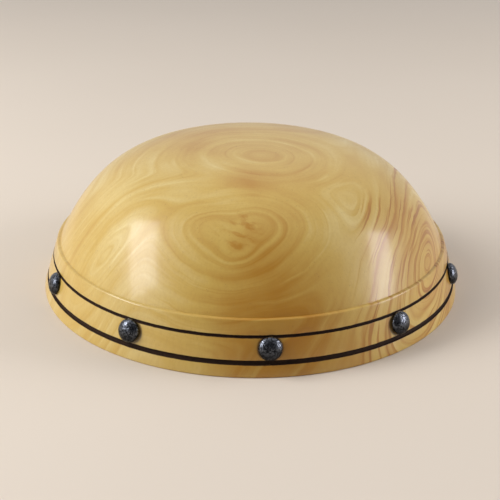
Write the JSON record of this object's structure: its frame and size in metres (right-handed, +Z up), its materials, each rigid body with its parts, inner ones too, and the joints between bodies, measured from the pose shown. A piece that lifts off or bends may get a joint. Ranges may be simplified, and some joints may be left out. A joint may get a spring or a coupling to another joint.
{
  "type": "money box",
  "caption": "Round turned wooden money box: a low hollow dome on its rim, with two burnt grooves, a ring of hammered nails, a rear coin slot and a rubber bung under it.",
  "frame": {"origin": "on the turning axis, level with the underside of the rim that it stands on", "axes": "+Z up along the turning axis; the front nail faces -Y and the coin slot is on the +Y side"},
  "size_m": [0.2158, 0.2166, 0.0718],
  "materials": {
    "shell_wood": "satin varnish over honey-coloured turned wood, with the two grooves burnt near black",
    "disc_wood": "sanded and lightly sealed",
    "bung_rubber": "matt moulded rubber",
    "screw_brass": "plain turned brass, a little dulled",
    "nail_iron": "hammered, blackened and rubbed back to bright metal on the high spots"
  },
  "bodies": {
    "money_box": {"dome_shell": "shell_wood", "base_disc": "disc_wood", "base_screw_1": "screw_brass", "base_screw_2": "screw_brass", "base_screw_3": "screw_brass", "base_screw_4": "screw_brass", "nail_01": "nail_iron", "nail_02": "nail_iron", "nail_03": "nail_iron", "nail_04": "nail_iron", "nail_05": "nail_iron", "nail_06": "nail_iron", "nail_07": "nail_iron", "nail_08": "nail_iron", "nail_09": "nail_iron", "nail_10": "nail_iron"},
    "bung": {"bung": "bung_rubber"}
  },
  "joints": [
    {"name": "bung_pull", "type": "slide", "parent": "money_box", "child": "bung", "axis": [0, 0, -1], "range_m": [0, 0.03]}
  ]
}
